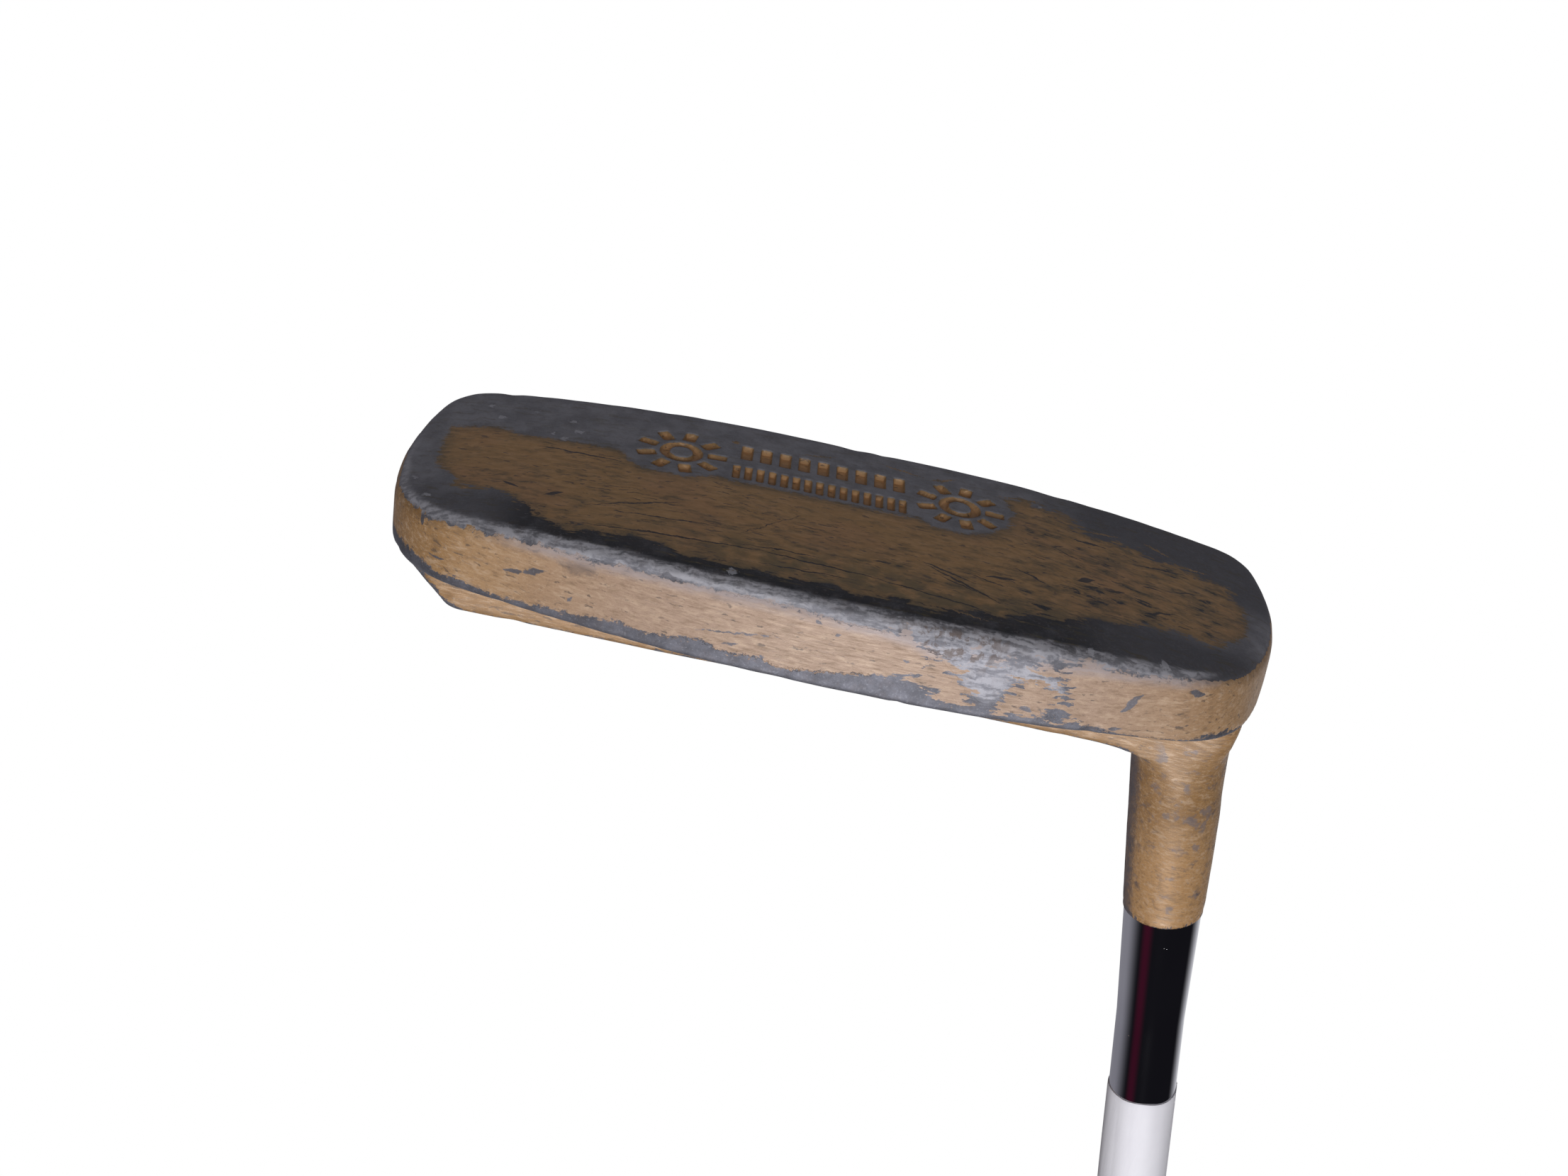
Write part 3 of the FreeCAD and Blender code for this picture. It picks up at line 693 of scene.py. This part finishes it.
def cast_shape(mesh):
    """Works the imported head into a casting: soft at the neck, a little wavy and knocked about."""
    edges = edges_of(mesh)
    points = smoothed(coordinates(mesh), edges, 4)
    set_coordinates(mesh, points)
    degree = np.bincount(edges.ravel(), minlength=len(points)).astype(float)

    # The neck runs into the blade in a soft cast root: only hollows are filled here
    up_shaft, _, from_line = about_shaft(points)
    near = ramp(from_line, 19.0, 12.0) * ramp(up_shaft, 50.0, 40.0)
    near *= ramp(points[:, 2], 8.0, 11.0)
    shelf = ramp(points[:, 2], 10.5, 12.0) * 0.35
    fill = np.maximum(near, shelf)
    for _ in range(ROOT_ROUNDS):
        normals = normals_of(mesh)
        for _ in range(ROOT_STEPS):
            step = average_step(points, edges, degree)
            outward = np.maximum(np.einsum("ij,ij->i", step, normals), 0.0)
            points = points + (0.5 * fill * outward)[:, None] * normals
        set_coordinates(mesh, points)
    points = smoothed(points, edges, 3)
    # The blade's heel corner dies away into the neck
    corner = ramp(from_line, 13.0, 10.5) * ramp(points[:, 2], 16.0, 20.0)
    corner *= ramp(points[:, 2], 38.0, 33.0) * ramp(points[:, 0], -46.0, -50.0)
    points = smoothed(points, edges, CORNER_ROUNDS, 0.6 * corner)

    # The casting isn't quite true, and its edges have taken knocks
    set_coordinates(mesh, points)
    normals = normals_of(mesh)
    aside = Vector((40, 0, 0))
    wave = np.array([noise.noise(Vector(p) * 0.055) * 0.07 + noise.noise(Vector(p) * 0.21 + aside) * 0.035
                     for p in points])
    convex = convexity(points, edges, normals, 30)
    random = np.random.default_rng(KNOCK_SEED)
    on_edge = np.flatnonzero((convex > 0.16) & (up_shaft < 40.0) & (from_line > 8.0))
    knock = np.zeros(len(points))
    for centre in points[random.choice(on_edge, KNOCK_COUNT)]:
        width, depth = random.uniform(0.5, 1.5), random.uniform(0.04, 0.16)
        knock += depth * np.exp(-np.sum((points - centre) ** 2, axis=1) / width ** 2)
    off_post = ramp(up_shaft, HOSEL_END - 1.0, HOSEL_END - 2.0)
    points = points + (off_post * (wave - np.minimum(knock, KNOCK_DEEPEST)))[:, None] * normals
    # The hosel's rim is a clean circle
    up_shaft, offset, from_line = about_shaft(points)
    rim = (up_shaft > HOSEL_END - 0.5) & (from_line > RIM_RADIUS - 0.45)
    clean = FOOT + (HOSEL_END - 0.03) * ALONG + offset * (RIM_RADIUS / np.maximum(from_line, 1.0))[:, None]
    points[rim] = clean[rim]
    set_coordinates(mesh, points)


def cut_finer(work):
    """Divides the sole's faces under the relief."""
    chosen = set()
    for face in work.faces:
        middle = face.calc_center_median() / MM
        inside = RELIEF_LOW[0] < middle.x < RELIEF_HIGH[0] and RELIEF_LOW[1] < middle.y < RELIEF_HIGH[1]
        if inside and middle.z < 2.0 and face.normal.z < -0.7:
            chosen.update(edge.index for edge in face.edges)
    edges = [edge for edge in work.edges if edge.index in chosen]
    bmesh.ops.subdivide_edges(work, edges=edges, cuts=RELIEF_CUTS, use_grid_fill=True)


def sink_relief(mesh):
    """Cuts the relief. Returns the points, the normals before the cut, and where sole and relief are."""
    points, normals = coordinates(mesh), normals_of(mesh)
    x, y, z = points.T
    under = ramp(-normals[:, 2], 0.55, 0.80) * ramp(z, 7.0, 5.0)
    groove = ramp(relief_distance(x, y), 0.10, -0.12) * (under > 0.5) * (z < 2.0)
    rough_floor = np.array([noise.noise(Vector(p) * 1.3) for p in points])
    points[:, 2] += groove * (RELIEF_DEPTH + 0.07 * rough_floor)
    set_coordinates(mesh, points)
    return points, normals, under, groove


def paint_field(mesh, points, normals, under, band, on_neck, patch):
    """How far inside the paint each point lies, in millimetres."""
    x, y, z = points.T
    _, offset, from_line = about_shaft(points)
    sole_field = inside_distance(x, y, SOLE_PAINT)
    foot = np.interp(x, *np.array(BAND_FOOT).T)
    head = np.interp(x, *np.array(BAND_HEAD).T)
    band_field = np.minimum(z - foot, head - z)
    band_field = np.minimum(band_field, np.where(y < 0, -patch - 0.1, 9.0))
    # Elsewhere the paint has gone from the edges, and from the middle of the face
    edge_field = 1.5 - 7.5 * np.maximum(convexity(points, edges_of(mesh), normals, 24), 0.0)
    edge_field += 2.2 * ramp(x, -43.0, -48.0) * ramp(z, 9.0, 12.0) * ramp(y, 16.0, 12.0)
    face_side = ramp(normals[:, 1], 0.7, 0.9)
    struck = 1.0 - np.hypot((x - FACE_WEAR_MIDDLE[0]) / FACE_WEAR_SIZE[0],
                            (z - FACE_WEAR_MIDDLE[1]) / FACE_WEAR_SIZE[1])
    edge_field = np.where(face_side > 0.5, np.minimum(edge_field, -struck * 5.0), edge_field)
    edge_field = np.minimum(edge_field, np.where(z < 9.0, z - 2.2, 9.0))
    # On the neck the paint gives way on the side facing the toe, leaving bare grey-mauve metal there as
    # painted shade; the hosel's end face is bare
    toward_toe = offset @ FRONT / np.maximum(from_line, 1e-6)
    neck_paint_and_shade = 2.6 - 3.1 * ramp(toward_toe, 0.62, 0.98)
    neck_paint_and_shade = np.where(normals @ ALONG > 0.7, -3.0, neck_paint_and_shade)
    field = np.where(under > 0.5, sole_field, np.where(band > 0.5, band_field, edge_field))
    return field * (1 - on_neck) + neck_paint_and_shade * on_neck, band_field, z - foot


def mark_wear(mesh, points, normals, under, groove):
    """Gives each vertex the paint's extent, the kinds of wear, and the painted shade, sheen and highlight
    that the material reads.
    """
    x, y, z = points.T
    up_shaft, _, from_line = about_shaft(points)
    on_neck = ramp(from_line, 9.0, 7.6) * ramp(z, 14.0, 19.0)
    band = ramp(np.abs(normals[:, 2]), 0.93, 0.84) * ramp(z, 13.2, 12.4)
    band *= ramp(y, 12.0, 4.0)
    patch = inside_distance(x, z, BAND_PATCH)
    field, band_field, above_foot = paint_field(mesh, points, normals, under, band, on_neck, patch)

    beside_patch = np.abs(x + 18.0)
    ragged = 0.30 + 0.75 * under * ramp(y, 0.0, -12.0)
    ragged += 1.2 * under * ramp(x, -16.0, -24.0) * ramp(y, 4.0, 8.0)
    ragged += 0.5 * under * ramp(x, 30.0, 36.0) * ramp(y, -2.0, -7.0)
    ragged += 1.1 * band * ramp(beside_patch, 15.0, 9.0)
    chips = 0.22 + 0.30 * on_neck + 0.60 * ramp(x, -10.0, -28.0) * under
    chips += 0.30 * under * ramp(y, 0.0, -8.0) + 0.35 * band * ramp(beside_patch, 12.0, 7.0)
    chips += 0.30 * ramp(y, 4.0, 12.0) * (1 - under)
    chips -= 1.1 * on_neck * ramp(up_shaft, 51.5, 53.5)
    dark = ramp(y, -4.0, -11.0) * (1.0 - 0.50 * ramp(x, 36.0, 44.0))
    dark *= 1.0 - 0.32 * ramp(x, -24.0, -36.0)
    dark += 0.60 * ramp(x, -20.0, -32.0) * ramp(y, 1.0, 7.0)
    # The strip on the sole's back fillet, picked by the way the surface faces: rubbed metal painted pale,
    # partly as a painted highlight
    strip = ramp(-normals[:, 2], 0.965, 0.88) * ramp(z, 8.0, 5.0) * ramp(y, 10.0, -2.0)
    strip *= ramp(band_field, 0.6, -0.4)
    pale_patch = ramp(patch, -0.5, 0.5) * band
    # Darker golden-brown at the toe end, above the flange and low on the neck, partly as painted shade
    golden = band * ramp(x, 42.0, 50.0)
    golden += (1 - band) * (1 - under) * ramp(z, 12.5, 14.0) * (1 - on_neck)
    golden += on_neck * (0.9 - 0.8 * ramp(up_shaft, 34.0, 44.0))
    rust = ramp(np.abs(x + 13.0), 9.0, 2.0) * ramp(z, 6.0, 3.0) * (1 - under)
    set_values(
        mesh, paint=np.clip(field, -6.0, 6.0), under=under, band=band, groove=groove, ragged=ragged,
        chips=chips, thin=under * ramp(y, -7.0, -14.0) * ramp(x, 34.0, 6.0), dark=under * dark,
        rubbed=np.clip(strip * 0.95 + pale_patch, 0.0, 1.0), neck=on_neck, golden=golden,
        faded=0.75 * on_neck * ramp(up_shaft, 36.0, 47.0),
        blanched=band * ramp(above_foot, 1.7, 0.1) * ramp(x, 44.0, 34.0),
        bleached=band * ramp(np.abs(x + 4.0), 50.0, 24.0), rust=np.clip(rust + 0.15, 0.0, 1.0))


def head_piece():
    piece = dense_copy("head_casting", "head_skin", HEAD_VOXEL)
    cast_shape(piece.data)
    edit(piece.data, cut_finer)
    mark_wear(piece.data, *sink_relief(piece.data))
    piece.data.shade_smooth()
    return piece


def shaft_piece():
    rise = (BUTT_RADIUS - TIP_RADIUS) / STEP_COUNT
    outside = [(HOSEL_END, TIP_FLARE_RADIUS - 0.22), (HOSEL_END + 0.2, TIP_FLARE_RADIUS),
               (HOSEL_END + TIP_FLARE_LENGTH, TIP_RADIUS)]
    for step in range(STEP_COUNT):
        foot = FIRST_STEP + step * STEP_SPACING
        radius = TIP_RADIUS + step * rise
        for share in (0.0, 0.25, 0.5, 0.75, 1.0):
            outside.append((foot + share * STEP_LENGTH, radius + ramp(share, 0.0, 1.0) * rise))
    outside += [(SHAFT_END - 0.2, BUTT_RADIUS), (SHAFT_END, BUTT_RADIUS - 0.15)]
    inside = [
        (SHAFT_END, BUTT_RADIUS - SHAFT_WALL),
        (FIRST_STEP + (STEP_COUNT - 1) * STEP_SPACING, BUTT_RADIUS - SHAFT_WALL),
        (FIRST_STEP, TIP_RADIUS - SHAFT_WALL), (HOSEL_END + TIP_FLARE_LENGTH, TIP_RADIUS - SHAFT_WALL),
        (HOSEL_END, TIP_FLARE_RADIUS - SHAFT_WALL),
    ]
    profile = np.array(outside + inside)
    return ring_shell("shaft_skin", profile[:, :1], profile[:, 1:], 96, 30.0)


def label_piece():
    """A paper sleeve: soft lengthwise puckers, slightly uneven ends and a lapped seam."""
    segments, rings = 240, 70
    angle = ring_angles(segments)
    share = np.linspace(0.0, 1.0, rings)[:, None]
    wander = 0.12 * np.sin(angle * 2.0 + 0.6) + 0.07 * np.sin(angle * 5.0)
    wander = wander * (2.0 * share - 1.0) ** 4 * np.where(share < 0.5, 1.0, -1.0)
    distance = LABEL_START + LABEL_LENGTH * share + wander
    turn = (angle - LABEL_LAP_PLACE) % (2.0 * math.pi)
    lap = ramp(turn, 0.0, 0.03) * ramp(turn, LABEL_LAP_ANGLE + 0.03, LABEL_LAP_ANGLE)
    pucker = np.array([[noise.noise(Vector((math.cos(a) * 2.2, math.sin(a) * 2.2, s * 2.4))) for a in angle]
                       for s in share[:, 0]])
    ends = 1.0 - ramp(np.abs(2.0 * share - 1.0), 0.97, 1.0) * 0.4
    outer = LABEL_INNER + LABEL_THICKNESS * (0.75 + lap) + np.maximum(pucker, -0.25) * 0.10 * ends
    edge = np.full(segments, LABEL_INNER + LABEL_THICKNESS * 0.35)
    inner = np.full((2, segments), LABEL_INNER)
    distances = distance[[0, *range(rings), -1, -1, 0]]
    piece = ring_shell("label_skin", distances, np.vstack([edge, outer, edge, inner]), segments, 35.0)
    up_shaft = about_shaft(coordinates(piece.data))[0]
    from_end = np.minimum(up_shaft - LABEL_START, LABEL_START + LABEL_LENGTH - up_shaft)
    set_values(piece.data, edge=ramp(from_end, 0.9, 0.1))
    return piece


def grip_piece():
    """A moulded rubber grip: lipped mouth, ribbed flat front, dimpled back and vented butt."""
    segments = 120
    angle = ring_angles(segments)
    bead_radius = GRIP_MOUTH_RADIUS + GRIP_BEAD_HEIGHT
    bead_end = GRIP_START + GRIP_BEAD_LENGTH
    cap_start = CLUB_LENGTH - GRIP_ROUNDING
    knots = np.array([
        (GRIP_START, bead_radius - GRIP_BEAD_CHAMFER), (GRIP_START + 0.25, bead_radius - 0.35),
        (GRIP_START + GRIP_BEAD_CHAMFER, bead_radius - 0.03), (GRIP_START + 2.0, bead_radius),
        (bead_end - GRIP_BEAD_CHAMFER, bead_radius - 0.03), (bead_end - 0.35, bead_radius - 0.4),
        (bead_end, GRIP_MOUTH_RADIUS), ((bead_end + cap_start) / 2.0, GRIP_BELLY_RADIUS),
        (cap_start, GRIP_BUTT_RADIUS),
    ])
    fine = np.concatenate([np.linspace(GRIP_START, bead_end, 16),
                           np.arange(bead_end + 0.5, cap_start - 0.2, 0.5)])
    round_radius = np.interp(fine, *knots.T)[:, None]
    share = (fine - bead_end) / (cap_start - bead_end)
    flat = GRIP_MOUTH_RADIUS + (GRIP_FRONT_DEPTH - GRIP_MOUTH_RADIUS) * share
    flat = np.where(fine > bead_end, flat, 99.0)[:, None]
    facing = np.maximum(np.cos(angle), 0.02)
    sharpness = 14.0
    # Rounded meeting of the flat front and the round back
    radius = (round_radius ** -sharpness + (flat / facing) ** -sharpness) ** (-1.0 / sharpness)
    across = radius * np.sin(angle)
    half_flat = np.sqrt(np.maximum(round_radius ** 2 - np.minimum(flat, 50.0) ** 2, 0.0))
    from_start = fine[:, None] - bead_end
    from_cap = cap_start - fine[:, None]
    on_front = ramp(facing, 0.30, 0.55)
    # Ribs on the front in panels, with a plain band between panels
    rib_start, panel_length, rib_pitch, rib_depth = 34.0, 44.0, 2.6, 0.42
    rib_zone = ramp(np.abs(across) / np.maximum(half_flat, 0.1), 0.80, 0.70) * (half_flat > 1.5)
    rib_zone = rib_zone * ramp(from_start, rib_start, rib_start + 2.0) * ramp(from_cap, 8.0, 10.0) * on_front
    panel = (from_start - rib_start) % panel_length
    rib_zone *= ramp(panel, 2.0, 3.0) * ramp(panel, panel_length - 2.0, panel_length - 3.0)
    chevron = from_start + np.abs(across) * 0.45
    ribs = 0.5 - 0.5 * np.cos(2.0 * math.pi * chevron / rib_pitch)
    depth = rib_depth * rib_zone * ramp(ribs, 0.45, 0.75)
    # A fine border groove beside the front
    border = np.exp(-((np.abs(across) - half_flat * 0.90) / 0.42) ** 2) * on_front * (half_flat > 2.0)
    border *= ramp(from_start, 28.0, 32.0) * ramp(from_cap, 5.0, 7.0)
    depth = np.maximum(depth, 0.30 * border)
    # Dimples on the back and sides, in offset rows
    first_row, row_pitch, columns, crowding, dimple_depth = 14.0, 4.2, 14, 1.35, 0.40
    row = np.round((from_start - first_row) / row_pitch)
    column_angle = (angle - math.pi) * columns / (2.0 * math.pi) * crowding + 0.5 * (row % 2)
    gap_s = from_start - first_row - row * row_pitch
    gap_a = (column_angle - np.round(column_angle)) * (2.0 * math.pi / columns / crowding) * radius
    dimple_zone = ramp(np.cos(angle), -0.05, -0.20) * ramp(from_start, first_row - 2.0, first_row - 1.0)
    dimple_zone = dimple_zone * ramp(from_cap, 8.0, 9.0)
    dimples = ramp(np.hypot(gap_s, gap_a), 1.15, 0.55) * dimple_zone
    depth = np.maximum(depth, dimple_depth * dimples)
    # Rings cut round the grip, one near the butt and two near the mouth
    for place in (cap_start - 3.4, bead_end + 5.0, bead_end + 7.6):
        depth = np.maximum(depth, 0.38 * np.exp(-((fine[:, None] - place) / 0.55) ** 2))
    radius = radius - depth

    distances, radii = list(fine), [radius]
    for share in np.linspace(0.15, 1.0, 8):
        bend = share * math.pi / 2.0
        distances.append(cap_start + GRIP_ROUNDING * math.sin(bend))
        radii.append(radius[-1:] - GRIP_ROUNDING * (1.0 - math.cos(bend)))
    rim = radii[-1]
    for share in (0.06, 0.25, 0.5, 0.75, 0.92, 1.0):
        distances.append(CLUB_LENGTH - 0.25 * (0.3 < share < 0.9))
        radii.append(rim + (GRIP_VENT_RADIUS - rim) * share)
    distances += [SHAFT_END, SHAFT_END, GRIP_START]
    for size in (GRIP_VENT_RADIUS, GRIP_BORE_RADIUS, GRIP_BORE_RADIUS):
        radii.append(np.full((1, segments), size))
    radii = np.vstack(radii)
    piece = ring_shell("grip_skin", np.array(distances)[:, None], radii, segments, 50.0)
    sunk = np.clip(depth / 0.3, 0.0, 1.0)
    hold = ramp(fine, GRIP_START + 120.0, GRIP_START + 170.0) * ramp(fine, cap_start - 10.0, cap_start - 30.0)
    low, worn = np.zeros(radii.shape), np.zeros(radii.shape)
    low[:len(fine)] = sunk
    worn[:len(fine)] = hold[:, None] * (1.0 - sunk)
    set_values(piece.data, low=low.ravel(), worn=worn.ravel())
    return piece


def settle(piece, material, slot, *nodes):
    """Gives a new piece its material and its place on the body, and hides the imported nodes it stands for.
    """
    piece.data.materials.append(material)
    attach(piece, "root")
    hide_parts(*nodes)


def dress(node, material):
    """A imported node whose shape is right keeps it, and gets a better material."""
    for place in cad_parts[node].material_slots:
        place.material = material


settle(head_piece(), head_material(), "head_paint", "head_casting")
settle(shaft_piece(), chrome_material(), "shaft_chrome", "shaft_tube")
settle(label_piece(), paper_material(), "label_paper", "shaft_label")
settle(grip_piece(), rubber_material(), "grip_rubber", "grip_sleeve")
dress("grip_tape", tape_material())
dress("hosel_bond", adhesive_material())


# ---------- camera, light and floor ----------

# The camera as fitted to the photograph: the rows point right, down and ahead
CAMERA_AXES = np.array([(-0.9774, 0.0484, -0.2059), (-0.2041, -0.4712, 0.8581), (-0.0555, 0.8807, 0.4704)])
CAMERA_OFFSET = np.array([7.8249, -8.2663, 296.2006])
SENSOR_WIDTH = 36.0
IMAGE_WIDTH = 2212.0
FOCAL_PIXELS = 3500.0

right, down, ahead = CAMERA_AXES
eye = -CAMERA_AXES.T @ CAMERA_OFFSET * MM
camera_data = bpy.data.cameras.new("camera")
camera_data.sensor_width = SENSOR_WIDTH
camera_data.lens = SENSOR_WIDTH * FOCAL_PIXELS / IMAGE_WIDTH
camera_data.clip_start = 0.01
camera_data.clip_end = 50.0
camera = add_object("camera", camera_data)
turn = Matrix([right, -down, -ahead]).transposed().to_4x4()
camera.matrix_world = Matrix.Translation(eye) @ turn
bpy.context.scene.camera = camera


def soft_lamp(name, toward, level, spread, colour=(1.0, 1.0, 1.0), mirrored=True):
    """A far soft lamp in the direction given. Level 1 lights a surface that faces it to its own colour."""
    data = bpy.data.lights.new(name, "SUN")
    data.energy = level * math.pi
    data.angle = math.radians(spread)
    data.color = colour
    lamp = add_object(name, data)
    lamp.rotation_mode = "QUATERNION"
    lamp.rotation_quaternion = Vector(toward).to_track_quat("Z", "Y")
    lamp.visible_glossy = mirrored


soft_lamp("key", (-0.12, -0.56, 0.82), 0.56, 16.0, (0.97, 0.975, 1.0))
soft_lamp("front", (0.0, -0.96, -0.25), 0.47, 26.0)
soft_lamp("fill", (0.90, -0.35, 0.10), 0.07, 50.0, mirrored=False)
soft_lamp("far", (-0.35, 0.75, 0.60), 0.62, 40.0, mirrored=False)

# The dark red streak that the shaft mirrors, as an angle from the camera's side (-Y) towards the toe
STRIPE_BEARING = math.radians(39.0)
w = Nodes(bpy.data.worlds.new("studio"))
bpy.context.scene.world = w.owner
paths = w.add("LightPath").outputs
ray = w.add("SeparateXYZ", {0: w.add("TexCoord").outputs["Generated"]}).outputs
# Polished metal mirrors a dark room in front, and a far side that is greyer towards the toe
room_colour = (0.0075, 0.0072, 0.0095)
toe_side = w.mix(w.step(ray[1], -0.35, 0.45), room_colour, (0.235, 0.232, 0.262))
heel_side = w.mix(w.step(ray[1], 0.10, 1.0), room_colour, (0.80, 0.80, 0.84))
upward = w.step(ray[2], 0.20, 0.35)
mirror_colour = w.mix(w.times(w.step(ray[0], -0.10, -0.40), upward), toe_side, heel_side)
bearing = w.math("ARCTAN2", ray[0], w.times(ray[1], -1.0))
off_stripe = w.math("ABSOLUTE", w.minus(bearing, STRIPE_BEARING))
stripe = w.times(w.step(off_stripe, math.radians(26.0), math.radians(2.0)), upward)
mirror_colour = w.mix(stripe, mirror_colour, (0.045, 0.006, 0.016))
plain = w.mix(paths["Is Diffuse Ray"], mirror_colour, (0.082, 0.080, 0.082))
seen = w.math("MAXIMUM", paths["Is Camera Ray"], paths["Is Transmission Ray"])
shown = w.mix(seen, plain, (1.0, 1.0, 1.0))
background = w.add("Background", {"Color": shown, "Strength": 1.0})
w.add("OutputWorld", {"Surface": background.outputs[0]})

# In metres: the floor lies a little below the sole, so that the two never share a plane
FLOOR_RADIUS = 3.0
FLOOR_DROP = 0.0004
floor_mesh = bpy.data.meshes.new("floor")
edit(floor_mesh, lambda work: bmesh.ops.create_circle(work, cap_ends=True, segments=96, radius=FLOOR_RADIUS))
floor = add_object("floor", floor_mesh)
floor.location.z = -FLOOR_DROP
n, place = new_material("pale_floor")
tone = n.noise(place, 0.004, 2.0)
diffuse = n.add("BsdfDiffuse", {"Color": n.mix(tone, (0.80, 0.80, 0.80), (0.84, 0.84, 0.84))})
clear = n.add("BsdfTransparent")
from_above = n.minus(1.0, n.add("NewGeometry").outputs["Backfacing"])
shown = n.times(n.add("LightPath").outputs["Is Camera Ray"], from_above)
mixed = n.add("MixShader", {0: shown, 1: clear.outputs[0], 2: diffuse.outputs[0]})
n.add("OutputMaterial", {"Surface": mixed.outputs[0]})
floor_mesh.materials.append(n.owner)

bpy.context.scene.view_settings.view_transform = "Standard"
